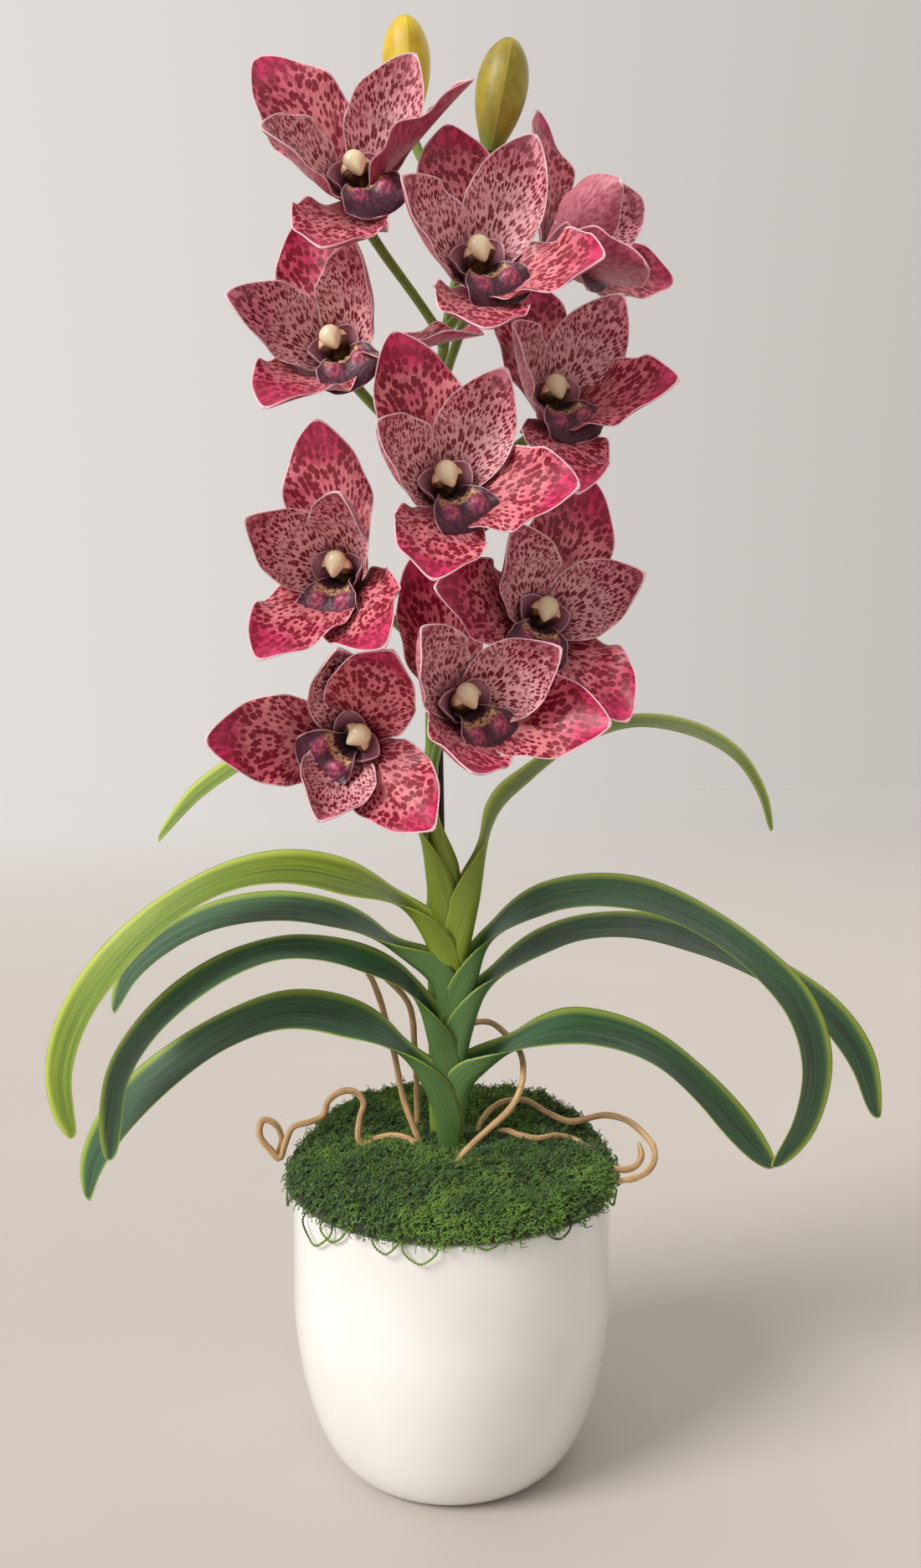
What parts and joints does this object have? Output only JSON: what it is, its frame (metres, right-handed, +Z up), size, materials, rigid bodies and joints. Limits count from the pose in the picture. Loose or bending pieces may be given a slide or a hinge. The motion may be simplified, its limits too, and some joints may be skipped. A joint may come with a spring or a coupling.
{
  "type": "potted cymbidium orchid",
  "caption": "Potted cymbidium orchid: a tall staked spike of spotted crimson blooms with buds, arching strap leaves, wiry aerial roots and moss in a round-shouldered glossy white pot.",
  "frame": {"origin": "centre of the pot's foot, on the surface that the pot stands on", "axes": "+Z up along the pot's axis and the flower spike; the blooms face -Y; +X is to the right, seen from the front"},
  "size_m": [0.4517, 0.2108, 0.7611],
  "materials": {
    "pot": "smooth glossy white glaze",
    "filler": "rough dark green foam",
    "moss": "matt curly strands",
    "leaf": "satin dark green with pale yellow-green edges",
    "young_leaf": "satin yellow-green",
    "stem": "satin bright green",
    "stick": "satin black",
    "root": "satin tan",
    "tepal": "satin rose with crimson spots, magenta tips and pale rims",
    "lip": "satin dark purple with a yellowish throat",
    "column": "satin cream",
    "bud": "satin yellow-green"
  },
  "bodies": {
    "root": {"pot": "pot", "filler": "filler", "moss": "moss", "leaf_stalk": "stem", "leaf_left_5": "leaf", "leaf_right_4": "leaf", "leaf_left_4": "leaf", "leaf_right_3": "leaf", "leaf_right_2": "leaf", "leaf_left_3": "leaf", "leaf_left_2": "young_leaf", "leaf_right_1": "young_leaf", "leaf_left_1": "young_leaf", "leaf_back": "young_leaf", "root_left_arch": "root", "root_left_tall": "root", "root_left_back": "root", "root_right_tall": "root", "root_right_loop": "root", "root_right_low": "root", "support_stick": "stick", "flower_stem": "stem", "bloom_01_tepals": "tepal", "bloom_01_lip": "lip", "bloom_01_column": "column", "bloom_02_tepals": "tepal", "bloom_02_lip": "lip", "bloom_02_column": "column", "bloom_03_tepals": "tepal", "bloom_03_lip": "lip", "bloom_03_column": "column", "bloom_04_tepals": "tepal", "bloom_04_lip": "lip", "bloom_04_column": "column", "bloom_05_tepals": "tepal", "bloom_05_lip": "lip", "bloom_05_column": "column", "bloom_06_tepals": "tepal", "bloom_06_lip": "lip", "bloom_06_column": "column", "bloom_07_tepals": "tepal", "bloom_07_lip": "lip", "bloom_07_column": "column", "bloom_08_tepals": "tepal", "bloom_08_lip": "lip", "bloom_08_column": "column", "bloom_09_tepals": "tepal", "bloom_09_lip": "lip", "bloom_09_column": "column", "bloom_10_tepals": "tepal", "bloom_10_lip": "lip", "bloom_10_column": "column", "bud_left": "bud", "bud_right": "bud"}
  },
  "joints": []
}
